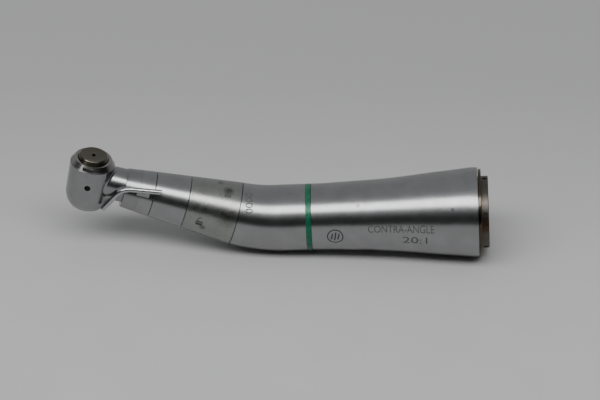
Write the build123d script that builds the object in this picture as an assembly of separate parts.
"""Surgical contra-angle handpiece, 20:1 reduction, as separate parts in one frame.

Units are millimetres.  The origin is the centre of the rear face of the handpiece.
+X runs out of the rear along the handle, the head points to -X, the push button to +Z.
Handle parts use the HANDLE plane, neck parts the NECK plane (z along the neck from the
bend point towards the head), head parts the HEAD plane (z from the bur to the button).
"""
import os
from math import acos, atan2, cos, degrees, pi, radians, sin, tan

from build123d import *

# ---------------------------------------------------------------- driving dimensions
BEND_X = -52.6          # bend point on the handle axis
BEND_ANGLE = 17.5       # neck axis against handle axis
BEND_LENGTH = 5.4       # distance from the bend point to either end of the curved shell
HEAD_DISTANCE = 39.6    # bend point to head axis, along the neck
HEAD_TILT = 11.5        # head axis leans rearwards at the button end

WAIST_R = 7.6           # slim front end of the handle
HANDLE_PROFILE = [(-40.3, 7.6), (-36.0, 7.7), (-31.6, 7.91), (-24.8, 8.22), (-17.9, 8.82),
                  (-11.1, 9.55), (-6.5, 9.99), (-3.1, 10.24), (-2.4, 10.2)]
SHELL_BORE_R = 7.1      # inside of the slim part of the shell
GREEN_X = (-41.6, -40.4)

SOCKET_R = 7.5          # bore that takes the motor nose
SOCKET_DEPTH = 20.0
SLEEVE_R = 8.1          # outside of the coupling sleeve
COLLAR_R = 9.85
COLLAR_X = (-2.3, -1.6)
SPANNER_R = 8.2
SPANNER_HOLES = 5
SPANNER_HOLE_D = 1.1

LOCK_S = (5.4, 17.2)    # stations along the neck: lock ring
HOUSING_S = 25.0        # front housing ends
SHEATH_S = 28.3         # neck sheath ends
STEP_S = 31.7           # step face with the light exit
SLIM_R = 3.85           # slim neck between step face and drum
SLIM_UP = 0.5           # its axis above the neck axis
SLIM_FLAT = 3.1         # its flat underside below its axis
THROAT_R = 0.9          # blend between slim neck and drum
WEB_SIDE = [(-1.5, 33.1), (-2.7, 33.1), (-3.3, 33.6), (-4.1, 34.3), (-5.0, 35.2),
            (-5.0, 37.5), (-1.5, 37.5)]      # flare under the slim neck, (up, along the neck)
WEB_HALF = 2.8
NECK_CONE = [(5.4, 7.2), (17.2, 6.0), (25.0, 5.2), (31.7, 4.45)]
SLEEVE_WALL = 0.8

GUIDE_R = 0.5           # light guide rod
GUIDE_OFFSET = 6.42     # below the handle axis
GUIDE_DEPTH = 1.4       # below the neck surface
GUIDE_BEND = 5.0        # tangent length of its bend

HEAD_R = 5.1
HEAD_BOTTOM = -6.2
SHOULDER = 4.65        # full head radius ends here
CAP_SEAM = 4.95
CAP_TOP = 5.95
BUTTON_TOP = 6.85
BUTTON_R = 3.45
BUTTON_TRAVEL = 0.45
SHANK_R = 1.19          # bore for a 2.35 mm bur shank

SUN_TEETH = 12
PLANET_TEETH = 12
RING_TEETH = 36
MODULE = 0.25
PLANETS = 3
PIN_R = 0.5
PRESSURE = radians(20)
FLANK_GAP = 0.03        # each flank is set back by this much

BEND_TEETH = 20
BEND_GEAR_R = 3.4
PINION_TEETH = 12
SPINDLE_TEETH = 15
HEAD_MODULE = 0.409

TUBE_R = 0.6
TUBE_BORE_R = 0.4
TUBE_HOSE_Y = -5.2      # the hose end stands out to clear the handle
TUBE_TIP_Y = -4.55
TUBE_BEND = 2.2        # tangent length of its bend

# ---------------------------------------------------------------- planes
BETA = radians(BEND_ANGLE)
TILT = radians(HEAD_TILT)
HANDLE = Plane(origin=(0, 0, 0), x_dir=(0, 0, 1), z_dir=(1, 0, 0))
NECK = Plane(origin=(BEND_X, 0, 0), x_dir=(sin(BETA), 0, cos(BETA)),
             z_dir=(-cos(BETA), 0, sin(BETA)))
HEAD_ORIGIN = (BEND_X - HEAD_DISTANCE * cos(BETA), 0, HEAD_DISTANCE * sin(BETA))
HEAD = Plane(origin=HEAD_ORIGIN, x_dir=(-cos(TILT), 0, sin(TILT)),
             z_dir=(sin(TILT), 0, cos(TILT)))


# ---------------------------------------------------------------- shape helpers
def place(shape, plane):
    """Move a shape drawn at the origin onto one of the working planes."""
    return plane.location * shape


def polygon(points):
    """Face from 3-D points."""
    return Face(Wire.make_polygon([Vector(*p) for p in points], close=True))


def turned(points, plane):
    """Turned part from (along, radius) points."""
    face = polygon([(r, 0, a) for a, r in points])
    return place(revolve(face, Axis.Z, 360), plane)


def tube(a0, a1, inner, outer, plane):
    """Plain ring or tube between two stations."""
    return turned([(a0, inner), (a0, outer), (a1, outer), (a1, inner)], plane)


def rod(a0, a1, radius, plane, x=0.0, y=0.0):
    """Round rod parallel to the plane's axis."""
    bar = Cylinder(radius, a1 - a0, align=(Align.CENTER, Align.CENTER, Align.MIN))
    return place(Pos(x, y, a0) * bar, plane)


def block(size, centre, plane):
    """Box centred at a point of the plane's frame."""
    return place(Pos(*centre) * Box(*size), plane)


def neck_r(s, less=0.0):
    """Outer radius of the neck cone at a station."""
    for (s0, r0), (s1, r1) in zip(NECK_CONE, NECK_CONE[1:]):
        if s <= s1:
            break
    return r0 + (r1 - r0) * (s - s0) / (s1 - s0) - less


def neck_profile(s0, s1, less):
    """Points of the neck surface between two stations, set inwards."""
    inside = [s for s, _ in NECK_CONE if s0 < s < s1]
    return [(s, neck_r(s, less)) for s in [s0] + inside + [s1]]


# ---------------------------------------------------------------- gears
def involute(angle):
    """Involute function."""
    return tan(angle) - angle


def tooth_outline(teeth, pitch_r, above, below, set_back):
    """Half outline (height, half width) of an involute tooth, root first."""
    base_r = pitch_r * cos(PRESSURE)
    half = pi / (2 * teeth) - set_back / pitch_r
    points = []
    for i in range(6):
        r = pitch_r - below + (above + below) * i / 5
        at = acos(min(1.0, base_r / r)) if r > base_r else 0.0
        turn = half + involute(PRESSURE) - involute(at)
        points.append((r * cos(turn) - pitch_r, r * sin(turn)))
    return points


def spur_outline(teeth, module, above, below, set_back, phase):
    """Closed outline of a spur gear, one tooth centred on the phase angle."""
    pitch_r = teeth * module / 2
    half = tooth_outline(teeth, pitch_r, above, below, set_back)
    tooth = [(h, -w) for h, w in half] + [(h, w) for h, w in reversed(half)]
    points = []
    for k in range(teeth):
        a = phase + 2 * pi * k / teeth
        for h, w in tooth:
            r = pitch_r + h
            points.append((r * cos(a) - w * sin(a), r * sin(a) + w * cos(a), 0))
    return points


def spur(teeth, a0, a1, above, below, set_back, phase=0.0):
    """Solid spur gear between two stations, drawn on the origin."""
    outline = polygon(spur_outline(teeth, MODULE, above, below, set_back, phase))
    return Pos(0, 0, a0) * extrude(outline, a1 - a0, dir=(0, 0, 1))


def bevel_tooth(teeth, pitch_r, cone, face, above, below):
    """One straight bevel tooth on the XZ side, apex at the origin, gear opening to +Z."""
    length = pitch_r / sin(cone)
    back_r = pitch_r / cos(cone)
    half = tooth_outline(teeth / cos(cone), back_r, above, below + 0.08, FLANK_GAP)
    outline = [(h, -w) for h, w in half] + [(h, w) for h, w in reversed(half)]
    rings = []
    for scale in (1.0, 1.0 - face / length):
        ring = []
        for h, w in outline:
            axial = length * cos(cone) - h * sin(cone)
            radial = length * sin(cone) + h * cos(cone)
            ring.append(Vector(radial * scale, w * scale, axial * scale))
        rings.append(ring)
    outer, inner = rings
    count = len(outer)
    faces = [Face(Wire.make_polygon(outer, close=True)), Face(Wire.make_polygon(inner, close=True))]
    for i in range(count):
        j = (i + 1) % count
        faces.append(Face(Wire.make_polygon([outer[i], outer[j], inner[j], inner[i]], close=True)))
    return Solid(Shell(faces))


def bevel(teeth, pitch_r, cone, face, above, below, back, bore, phase=0.0):
    """Bevel gear with hub, apex at the origin, opening to +Z."""
    length = pitch_r / sin(cone)
    scale = 1.0 - face / length
    out_a = length * cos(cone) + below * sin(cone)
    out_r = length * sin(cone) - below * cos(cone)
    body = [(out_a * scale, bore), (out_a * scale, out_r * scale), (out_a, out_r),
            (out_a + 0.35, out_r), (back, min(out_r, bore + 0.9)), (back, bore)]
    gear = turned(body, Plane.XY)
    tooth = bevel_tooth(teeth, pitch_r, cone, face, above, below)
    teeth_all = [Rot(0, 0, degrees(phase) + 360 * k / teeth) * tooth for k in range(teeth)]
    gear = gear.fuse(*teeth_all)
    return gear - Cylinder(bore, 20)


def one(shape):
    """The single solid of a shape."""
    return shape.solids()[0] if len(shape.solids()) == 1 else shape


# ---------------------------------------------------------------- bearings
def race(a0, a1, inner, outer, ball_track, ball_r, plane):
    """Bearing race with its ball groove."""
    ring = tube(a0, a1, inner, outer, Plane.XY)
    groove = Pos(0, 0, (a0 + a1) / 2) * Torus(ball_track, ball_r + 0.05)
    return place(ring - groove, plane)


def balls(a0, a1, ball_track, ball_r, count, plane):
    """Full set of bearing balls."""
    mid = (a0 + a1) / 2
    ball = Sphere(ball_r)
    ring = []
    for k in range(count):
        a = 2 * pi * (k + 0.5) / count
        ring.append(place(Pos(ball_track * cos(a), ball_track * sin(a), mid) * ball, plane))
    return ring


def bearing(a0, a1, bore, outer, ball_r, count, plane):
    """Outer race, inner race and ball list of a deep groove bearing."""
    track = (bore + outer) / 2
    lip = ball_r - 0.08
    outer_race = race(a0, a1, track + lip, outer, track, ball_r, plane)
    inner_race = race(a0, a1, bore, track - lip, track, ball_r, plane)
    return outer_race, inner_race, balls(a0, a1, track, ball_r, count, plane)


# ---------------------------------------------------------------- rear end and shell
def handle_shell():
    """Long tapered outer sleeve of the handle."""
    outer = [(a, r) for a, r in HANDLE_PROFILE]
    curve = Edge.make_spline([Vector(r, 0, a) for a, r in outer])
    inner = [(-2.4, 10.2), (-2.4, SLEEVE_R), (-20.6, SLEEVE_R), (-22.0, SHELL_BORE_R),
             (-40.3, SHELL_BORE_R), HANDLE_PROFILE[0]]
    rest = [Edge.make_line(Vector(r0, 0, a0), Vector(r1, 0, a1))
            for (a0, r0), (a1, r1) in zip(inner, inner[1:])]
    face = Face(Wire([curve] + rest))
    return place(revolve(face, Axis.Z, 360), HANDLE)


def green_ring():
    """Colour ring that marks the reduction ratio."""
    a0, a1 = GREEN_X
    return turned([(a0, SHELL_BORE_R), (a0, WAIST_R - 0.03), (a0 + 0.08, WAIST_R + 0.02),
                   (a1 - 0.08, WAIST_R + 0.02), (a1, WAIST_R - 0.03), (a1, SHELL_BORE_R)], HANDLE)


def bend_circle(t, radius):
    """Circle across the curved shell, t from 0 at the handle to 1 at the neck."""
    turn_r = BEND_LENGTH / tan(BETA / 2)
    a = BETA * t
    x = BEND_X + BEND_LENGTH - turn_r * sin(a)
    z = turn_r * (1 - cos(a))
    plane = Plane(origin=(x, 0, z), x_dir=(sin(a), 0, cos(a)), z_dir=(-cos(a), 0, sin(a)))
    return Face(Wire([Edge.make_circle(radius, plane)]))


def waist_shell():
    """Slim front end of the handle with the bend."""
    end = BEND_X + BEND_LENGTH
    straight = tube(end, GREEN_X[0], SHELL_BORE_R, WAIST_R, HANDLE)
    steps = [i / 4 for i in range(5)]
    outer = loft([bend_circle(t, WAIST_R - 0.4 * t) for t in steps])
    inner = loft([bend_circle(t, SHELL_BORE_R - 0.3 * t) for t in steps])
    return straight + (outer - inner)


def coupling_sleeve():
    """Inner sleeve that takes the motor nose, with the wall that holds the input bearing."""
    a0 = -SOCKET_DEPTH - 2.0
    body = turned([(a0, 3.0), (a0, SHELL_BORE_R), (-20.6, SLEEVE_R), (COLLAR_X[1], SLEEVE_R),
                   (COLLAR_X[1], SOCKET_R), (-14.0, SOCKET_R), (-14.0, SOCKET_R + 0.3),
                   (-15.0, SOCKET_R + 0.3), (-15.0, SOCKET_R), (-SOCKET_DEPTH, SOCKET_R),
                   (-SOCKET_DEPTH, 3.0)], HANDLE)
    return body - rod(a0 - 1, -SOCKET_DEPTH + 1, GUIDE_R + 0.05, HANDLE, x=-GUIDE_OFFSET)


def rear_collar():
    """Flat collar behind the outer sleeve."""
    a0, a1 = COLLAR_X
    return turned([(a0, SLEEVE_R), (a0, COLLAR_R - 0.1), (a0 + 0.1, COLLAR_R),
                   (a1 - 0.1, COLLAR_R), (a1, COLLAR_R - 0.1), (a1, SLEEVE_R)], HANDLE)


def spanner_ring():
    """End ring with radial holes for a pin spanner."""
    a0 = COLLAR_X[1]
    ring = turned([(a0, SOCKET_R), (a0, SPANNER_R), (-0.15, SPANNER_R), (0, SPANNER_R - 0.15),
                   (0, SOCKET_R)], HANDLE)
    for k in range(SPANNER_HOLES):
        hole = Pos(SPANNER_R, 0, a0 / 2) * Rot(0, 90, 0) * Cylinder(SPANNER_HOLE_D / 2, 1.0)
        ring -= place(Rot(0, 0, 62 + 72 * k) * hole, HANDLE)
    return ring


# ---------------------------------------------------------------- gear train in the handle
def gear_housing():
    """Tube that carries both ring gears, with the output bearing seat at its front."""
    body = turned([(-22.0, 5.45), (-22.0, 5.85), (-40.8, 5.85), (-40.8, SHELL_BORE_R),
                   (-42.0, SHELL_BORE_R), (-42.0, 3.0), (-40.0, 3.0), (-40.0, 5.0),
                   (-38.5, 5.45)], HANDLE)
    return body - rod(-43, -40, GUIDE_R + 0.05, HANDLE, x=-GUIDE_OFFSET)


def ring_gear(a0, a1):
    """Internal ring gear."""
    blank = tube(a0, a1, 1.0, 5.45, Plane.XY)
    space = spur(RING_TEETH, a0 - 0.5, a1 + 0.5, 0.3, 0.14, -FLANK_GAP, pi / RING_TEETH)
    return one(place(blank - space, HANDLE))


def input_shaft():
    """Drive dog, shaft and first sun gear."""
    shaft = turned([(-26.2, 0), (-26.2, 1.15), (-25.7, 1.5), (-19.9, 1.5), (-19.9, 1.85),
                    (-18.9, 1.85), (-18.9, 2.0), (-15.4, 2.0), (-15.2, 1.8), (-15.2, 0)], Plane.XY)
    shaft -= Pos(0, 0, -15.6) * Box(1.3, 6, 4.4)
    sun = spur(SUN_TEETH, -28.9, -26.0, 0.2, 0.3, FLANK_GAP)
    return place(shaft + sun, HANDLE)


def planet(a0, a1, k):
    """Planet gear, with a tooth space facing the sun."""
    phase = pi / PLANET_TEETH + 2 * pi * k / PLANETS
    gear = spur(PLANET_TEETH, a0, a1, 0.2, 0.3, FLANK_GAP, phase)
    gear -= Pos(0, 0, (a0 + a1) / 2) * Cylinder(PIN_R + 0.05, a1 - a0 + 1)
    a = 2 * pi * k / PLANETS
    return one(place(Pos(3 * cos(a), 3 * sin(a), 0) * gear, HANDLE))


def pins(a0, a1):
    """Three planet pins as one shape."""
    pin = Cylinder(PIN_R, a1 - a0, align=(Align.CENTER, Align.CENTER, Align.MIN))
    spots = [2 * pi * k / PLANETS for k in range(PLANETS)]
    return [Pos(3 * cos(a), 3 * sin(a), a0) * pin for a in spots]


def carrier_1():
    """First planet carrier with the second sun gear."""
    plate = Cylinder(4.0, 1.3, align=(Align.CENTER, Align.CENTER, Align.MIN))
    body = (Pos(0, 0, -30.4) * plate).fuse(*pins(-29.5, -25.9))
    sun = spur(SUN_TEETH, -34.3, -30.3, 0.2, 0.3, FLANK_GAP)
    return place(body + sun, HANDLE)


def carrier_2():
    """Second planet carrier with the output shaft."""
    body = turned([(-35.8, 0), (-35.8, 4.0), (-34.5, 4.0), (-34.5, 0)], Plane.XY)
    shaft = turned([(-51.3, 0), (-51.3, 1.5), (-40.0, 1.5), (-40.0, 1.85), (-36.2, 1.85),
                    (-35.6, 2.6), (-35.6, 0)], Plane.XY)
    body = body.fuse(shaft, *pins(-34.9, -30.8))
    return place(body, HANDLE)


def rear_bend_gear():
    """Crown gear on the output shaft."""
    cone = (pi - BETA) / 2
    gear = bevel(BEND_TEETH, BEND_GEAR_R, cone, 1.1, 0.24, 0.32, 4.0, 1.5)
    return one(place(gear, Plane(origin=(BEND_X, 0, 0), x_dir=(0, 0, 1), z_dir=(1, 0, 0))))


def front_bend_gear():
    """Crown gear at the rear end of the neck shaft."""
    cone = (pi - BETA) / 2
    gear = bevel(BEND_TEETH, BEND_GEAR_R, cone, 1.1, 0.24, 0.32, 3.6, 1.1, pi / BEND_TEETH)
    return one(place(gear, NECK))


# ---------------------------------------------------------------- neck
def neck_shaft():
    """Shaft from the bend to the head."""
    return turned([(1.2, 0), (1.2, 1.1), (5.3, 1.1), (5.3, 1.35), (5.5, 1.35), (5.5, 1.1),
                   (7.2, 1.1), (7.5, 1.3), (33.9, 1.3), (34.1, 1.1), (37.3, 1.1), (37.3, 0)], NECK)


def guide_path(s_end):
    """Centre line of the light guide: handle run, one arc, neck run."""
    start = Vector(-SOCKET_DEPTH - 0.1, 0, -GUIDE_OFFSET)
    low = neck_point(-(neck_r(6.0) - GUIDE_DEPTH), 0, 6.0)
    end = neck_point(-(neck_r(s_end) - GUIDE_DEPTH), 0, s_end)
    run = (end - low).normalized()
    corner = low - run * ((low.Z + GUIDE_OFFSET) / run.Z)
    p = corner + Vector(GUIDE_BEND, 0, 0)
    q = corner + run * GUIDE_BEND
    arc = Edge.make_tangent_arc(p, Vector(-1, 0, 0), q)
    return Wire([Edge.make_line(start, p), arc, Edge.make_line(q, end)])


def neck_point(x, y, s):
    """Global position of a point given in the neck frame."""
    return NECK.from_local_coords(Vector(x, y, s))


def light_guide():
    """Glass rod from the socket to the step face."""
    path = guide_path(STEP_S - 0.6)
    section = Face(Wire([Edge.make_circle(GUIDE_R, Plane(path @ 0, z_dir=path % 0))]))
    return sweep(section, path)


def guide_axis_plane(s):
    """Plane on the light guide centre line in the neck, z along the guide."""
    here = neck_point(-(neck_r(s) - GUIDE_DEPTH), 0, s)
    low = neck_point(-(neck_r(6.0) - GUIDE_DEPTH), 0, 6.0)
    high = neck_point(-(neck_r(STEP_S - 0.6) - GUIDE_DEPTH), 0, STEP_S - 0.6)
    return Plane(origin=here, z_dir=(high - low).normalized())


def guide_hole(s0, s1, radius):
    """Drill along the straight neck stretch of the light guide."""
    plane = guide_axis_plane(STEP_S - 0.6)
    return rod(s0 - STEP_S + 0.6, s1 - STEP_S + 0.6, radius, plane)


def light_lens():
    """Lens at the end of the light guide."""
    plane = guide_axis_plane(STEP_S - 0.6)
    return rod(0.02, 0.5, GUIDE_R + 0.1, plane)


def lock_ring():
    """Turning ring that releases the neck from the handle."""
    s0, s1 = LOCK_S[0] + 0.06, LOCK_S[1] - 0.06
    outer = neck_profile(s0, s1, 0.0)
    (a, ra), (b, rb) = outer[0], outer[-1]
    edge = [(a, ra - 0.12), (a + 0.12, ra - 0.01), (b - 0.12, rb + 0.01), (b, rb - 0.12)]
    return turned(edge + [(b, rb - 0.7), (a, ra - 0.7)], NECK)


def neck_core():
    """Inner body of the neck with the rear shaft bearing seat."""
    s0, s1 = LOCK_S[0], HOUSING_S
    outer = neck_profile(s0, s1, SLEEVE_WALL)
    body = turned([(4.3, 2.15), (4.3, 6.75), (s0, 6.75)] + outer + [(s1, 1.6), (7.0, 1.6),
                  (7.0, 2.15)], NECK)
    return body - guide_hole(4.0, 26.0, GUIDE_R + 0.08)


def front_housing():
    """Fixed outer sleeve in front of the lock ring."""
    outer = neck_profile(LOCK_S[1], HOUSING_S - 0.05, 0.0)
    inner = neck_profile(LOCK_S[1], HOUSING_S - 0.05, SLEEVE_WALL)
    (a, ra), (b, rb) = outer[0], outer[-1]
    edge = [(a, ra - 0.08), (a + 0.08, ra - 0.01), (b - 0.08, rb + 0.01), (b, rb - 0.08)]
    return turned(edge + list(reversed(inner)), NECK)


def neck_sheath():
    """Short sleeve over the root of the head piece."""
    outer = neck_profile(HOUSING_S + 0.05, SHEATH_S - 0.02, 0.0)
    inner = neck_profile(HOUSING_S + 0.05, SHEATH_S - 0.02, SLEEVE_WALL)
    (a, ra), (b, rb) = outer[0], outer[-1]
    edge = [(a, ra - 0.08), (a + 0.08, ra - 0.01), (b, rb)]
    return turned(edge + list(reversed(inner)), NECK)


# ---------------------------------------------------------------- head
def slim_bar(length):
    """Slim neck with a flat underside, before it meets the drum."""
    bar = Cylinder(SLIM_R, length, align=(Align.CENTER, Align.CENTER, Align.MIN))
    bar -= Pos(-SLIM_FLAT - 5, 0, length / 2) * Box(10, 20, length + 2)
    corners = bar.edges().filter_by(Axis.Z).filter_by(lambda edge: abs(edge.center().Y) > 1)
    return bar.fillet(0.7, corners)


def throat_web():
    """Flared underside of the slim neck where it meets the drum."""
    side = polygon([(e, 0, s) for e, s in WEB_SIDE])
    web = extrude(side, WEB_HALF, dir=(0, 1, 0), both=True)
    low = [edge for edge in web.edges()
           if abs((edge @ 0.5).Y) > WEB_HALF - 0.01 and -4.99 < (edge @ 0.5).X < -2.55
           and (edge @ 0.5).Z < 37.0]
    return place(web.fillet(0.9, low), NECK)


def head_blank():
    """Outer shape of neck root, slim neck and head drum as one solid."""
    root = turned([(HOUSING_S, 0), (HOUSING_S, neck_r(HOUSING_S, SLEEVE_WALL)),
                   (SHEATH_S, neck_r(SHEATH_S, SLEEVE_WALL)), (SHEATH_S, neck_r(SHEATH_S)),
                   (STEP_S - 0.1, neck_r(STEP_S - 0.1)), (STEP_S, neck_r(STEP_S) - 0.12),
                   (STEP_S, 0)], NECK)
    slim = place(Pos(SLIM_UP, 0, STEP_S - 0.5) * slim_bar(37.5 - STEP_S), NECK)
    drum = turned([(HEAD_BOTTOM, 0), (HEAD_BOTTOM, 3.85), (-4.95, 4.7), (-3.4, HEAD_R),
                   (SHOULDER, HEAD_R), (CAP_SEAM, HEAD_R - 0.2), (CAP_SEAM, 0)], HEAD)
    head = slim.fuse(drum)
    throat = [edge for edge in head.edges()
              if edge.geom_type == GeomType.BSPLINE and edge.length > 5]
    return root.fuse(head.fillet(THROAT_R, throat), throat_web())


def head_housing():
    """Head drum and neck in one piece, bored for the drive."""
    body = head_blank()
    body -= turned([(HEAD_BOTTOM - 1, 0), (HEAD_BOTTOM - 1, 2.25), (-4.7, 2.25), (-4.7, 3.0),
                    (-2.9, 3.0), (-2.9, 4.0), (3.7, 4.0), (3.7, 4.4), (CAP_SEAM + 1, 4.4),
                    (CAP_SEAM + 1, 0)], HEAD)
    body -= turned([(24, 0), (24, 1.6), (34.2, 1.6), (34.2, 2.15), (35.8, 2.15), (35.8, 2.9),
                    (HEAD_DISTANCE, 2.9), (HEAD_DISTANCE, 0)], NECK)
    body -= guide_hole(24.0, STEP_S - 0.6, GUIDE_R + 0.08)
    body -= guide_hole(STEP_S - 0.6, STEP_S + 2.0, GUIDE_R + 0.1)
    body -= place(side_hole_pose() * Cylinder(0.7, 4.0), HEAD)
    return one(body)


def side_hole_pose():
    """Pose of the side port: radial, a little forward of the side of the drum."""
    return Rot(0, 0, 85) * Pos(HEAD_R, 0, 0.75) * Rot(0, 90, 0)


def side_screw():
    """Slotted grub screw in the side port."""
    body = Pos(0, 0, -0.7) * Cylinder(0.69, 0.7)
    body -= Pos(0, 0, -0.35) * Box(0.22, 2.0, 0.4)
    return place(side_hole_pose() * body, HEAD)


def head_cap():
    """Screwed cap that holds the upper bearing and the button."""
    cap = turned([(2.95, 3.0), (2.95, 4.0), (3.7, 4.0), (3.7, 4.4), (CAP_SEAM, 4.4),
                  (CAP_SEAM, HEAD_R - 0.21), (CAP_TOP - 0.02, 4.24), (CAP_TOP, 4.2),
                  (CAP_TOP, 3.6), (CAP_TOP - 0.1, 3.5), (5.45, 3.5), (5.45, 3.95), (4.35, 3.95),
                  (4.35, 3.0)], HEAD)
    for angle in (77, 257):
        notch = Pos(4.75, 0, CAP_SEAM + 0.3) * Box(1.2, 2.4, 0.8)
        cap -= place(Rot(0, 0, angle) * notch, HEAD)
    return cap


def spring_seat():
    """Thin washer under the button spring."""
    return tube(4.35, 4.5, 1.5, 3.9, HEAD)


def push_button():
    """Chuck release button with the through hole for the clip-on spray pin."""
    top, rim = BUTTON_TOP, BUTTON_R - 0.35
    return turned([(4.75, 0.45), (4.75, 1.2), (6.35, 1.2), (6.35, 3.0), (5.1, 3.0), (5.1, 3.85),
                   (5.4, 3.85), (5.4, BUTTON_R), (top - 0.6, BUTTON_R), (top - 0.2, rim + 0.12),
                   (top - 0.1, rim + 0.04), (top - 0.03, rim - 0.06), (top, rim - 0.2),
                   (top - 0.1, rim - 0.9), (top - 0.14, 1.2), (top - 0.11, 0.75),
                   (top - 0.21, 0.45)], HEAD)


def button_spring():
    """Round wire spring that lifts the button."""
    wire_r = 0.15
    low, high = 4.5 + wire_r + 0.01, 6.35 - wire_r - 0.01
    path = Edge.make_helix((high - low) / 4, high - low, 2.1)
    section = Face(Wire([Edge.make_circle(wire_r, Plane(origin=path @ 0, z_dir=path % 0))]))
    return place(Pos(0, 0, low) * sweep(section, Wire([path]), is_frenet=True), HEAD)


def spindle():
    """Hollow spindle of the bur."""
    return turned([(-5.9, 1.47), (-5.9, 1.75), (-3.1, 1.75), (-2.95, 1.5), (4.2, 1.5),
                   (4.2, SHANK_R + 0.03), (-3.05, SHANK_R + 0.03), (-3.05, 1.47)], HEAD)


def collet():
    """Slotted chuck sleeve that grips the bur shank."""
    sleeve = tube(-6.05, -3.1, SHANK_R, 1.45, Plane.XY)
    for k in range(3):
        sleeve -= Rot(0, 0, 120 * k) * Pos(1.3, 0, -5.2) * Box(1.0, 0.25, 2.6)
    return place(sleeve, HEAD)


def head_cones():
    """Pitch cone angles of the head pair."""
    shaft = radians(90) + BETA - TILT
    first = atan2(sin(shaft), SPINDLE_TEETH / PINION_TEETH + cos(shaft))
    return first, shaft - first


def head_pinion():
    """Bevel pinion at the front end of the neck shaft."""
    cone, _ = head_cones()
    r = PINION_TEETH * HEAD_MODULE / 2
    gear = bevel(PINION_TEETH, r, cone, 0.7, 0.3, 0.4, 3.6, 1.1)
    back = Plane(origin=HEAD_ORIGIN, x_dir=NECK.x_dir, z_dir=-NECK.z_dir)
    return one(place(gear, back))


def spindle_gear():
    """Bevel gear on the spindle."""
    _, cone = head_cones()
    r = SPINDLE_TEETH * HEAD_MODULE / 2
    gear = bevel(SPINDLE_TEETH, r, cone, 0.7, 0.3, 0.4, 2.85, 1.5)
    return one(place(gear, HEAD))


# ---------------------------------------------------------------- coolant line
def tube_points():
    """Corner points of the outside coolant tube."""
    return [neck_point(4.25, TUBE_HOSE_Y, 23.6), neck_point(2.38, TUBE_TIP_Y, 32.4),
            neck_point(-4.05, TUBE_TIP_Y, 35.4)]


def tube_path():
    """Centre line of the coolant tube, with its bend rounded."""
    a, b, c = tube_points()
    p = b + (a - b).normalized() * TUBE_BEND
    q = b + (c - b).normalized() * TUBE_BEND
    bend = Edge.make_tangent_arc(p, (b - a).normalized(), q)
    return Wire([Edge.make_line(a, p), bend, Edge.make_line(q, c)])


def coolant_tube():
    """Bent tube that sprays on the bur, hose end at the rear."""
    path = tube_path()
    plane = Plane(origin=path @ 0, z_dir=path % 0)
    outer = sweep(Face(Wire([Edge.make_circle(TUBE_R, plane)])), path)
    inner = sweep(Face(Wire([Edge.make_circle(TUBE_BORE_R, plane)])), path)
    return one(outer - inner)


def tube_saddle():
    """Slim fin on the sheath that the tube is soldered to."""
    a, b, _ = tube_points()
    fin = block((1.2, 1.4, 2.9), (2.45, TUBE_HOSE_Y + 0.9, 27.5), NECK)
    fin -= turned([(24, 0), (24, neck_r(24)), (25, neck_r(25)), (31, neck_r(31)), (31, 0)], NECK)
    return one(fin - rod(-1, 9, TUBE_R, Plane(origin=a, z_dir=(b - a).normalized())))


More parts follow.
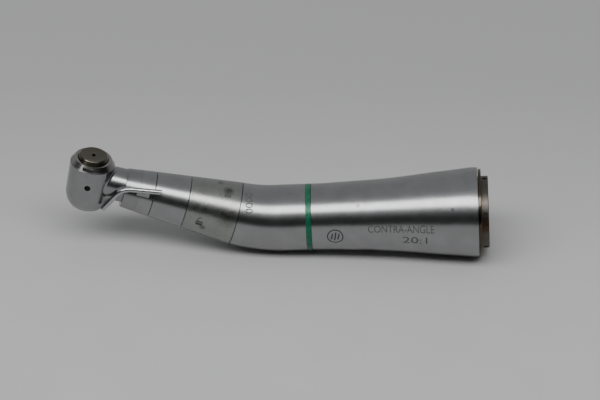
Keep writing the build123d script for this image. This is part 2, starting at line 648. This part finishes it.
# ---------------------------------------------------------------- assembly
def handle_parts():
    """Parts turned on the handle axis."""
    parts = {"handle_shell": handle_shell(), "green_ring": green_ring(),
             "waist_shell": waist_shell(), "coupling_sleeve": coupling_sleeve(),
             "rear_collar": rear_collar(), "spanner_ring": spanner_ring(),
             "gear_housing": gear_housing(), "ring_gear_1": ring_gear(-29.2, -25.6),
             "ring_gear_2": ring_gear(-34.8, -30.8), "input_shaft": input_shaft(),
             "ring_spacer": tube(-30.8, -29.2, 4.8, 5.45, HANDLE),
             "carrier_1": carrier_1(), "carrier_2": carrier_2(),
             "rear_bend_gear": rear_bend_gear()}
    for k, letter in enumerate("abc"):
        parts["planet_1" + letter] = planet(-28.8, -26.2, k)
        parts["planet_2" + letter] = planet(-34.2, -31.0, k)
    for name, a0, a1 in (("input", -22.0, -20.0), ("output", -42.0, -40.0)):
        outer, inner, ring = bearing(a0, a1, 1.5, 3.0, 0.42, 7, HANDLE)
        parts[name + "_bearing_outer"] = outer
        parts[name + "_bearing_inner"] = inner
        parts[name + "_bearing_balls"] = Compound(ring)
    return parts


def neck_parts():
    """Parts on the neck axis, and the coolant line."""
    parts = {"front_bend_gear": front_bend_gear(), "neck_shaft": neck_shaft(),
             "lock_ring": lock_ring(), "neck_core": neck_core(),
             "front_housing": front_housing(), "neck_sheath": neck_sheath(),
             "light_guide": light_guide(), "light_lens": light_lens(),
             "head_pinion": head_pinion(), "coolant_tube": coolant_tube(),
             "tube_saddle": tube_saddle()}
    for name, a0, a1 in (("neck_rear", 5.5, 7.0), ("neck_front", 34.2, 35.7)):
        outer, inner, ring = bearing(a0, a1, 1.1, 2.15, 0.28, 8, NECK)
        parts[name + "_bearing_outer"] = outer
        parts[name + "_bearing_inner"] = inner
        parts[name + "_bearing_balls"] = Compound(ring)
    return parts


def head_parts():
    """Parts on the head axis."""
    parts = {"head_housing": head_housing(), "head_cap": head_cap(),
             "spring_seat": spring_seat(), "push_button": push_button(),
             "button_spring": button_spring(), "spindle": spindle(), "collet": collet(),
             "spindle_gear": spindle_gear(), "side_screw": side_screw()}
    for name, a0, a1, bore in (("spindle_upper", 2.95, 4.2, 1.5), ("spindle_lower", -4.6, -3.2, 1.75)):
        outer, inner, ring = bearing(a0, a1, bore, 3.0, 0.36, 8, HEAD)
        parts[name + "_bearing_outer"] = outer
        parts[name + "_bearing_inner"] = inner
        parts[name + "_bearing_balls"] = Compound(ring)
    return parts


def main():
    """Write one STEP file per part."""
    os.makedirs("parts", exist_ok=True)
    for group in (handle_parts, neck_parts, head_parts):
        for name, shape in group().items():
            export_step(shape, f"parts/{name}.step")
            print(name, len(shape.solids()), round(shape.volume, 3))


main()
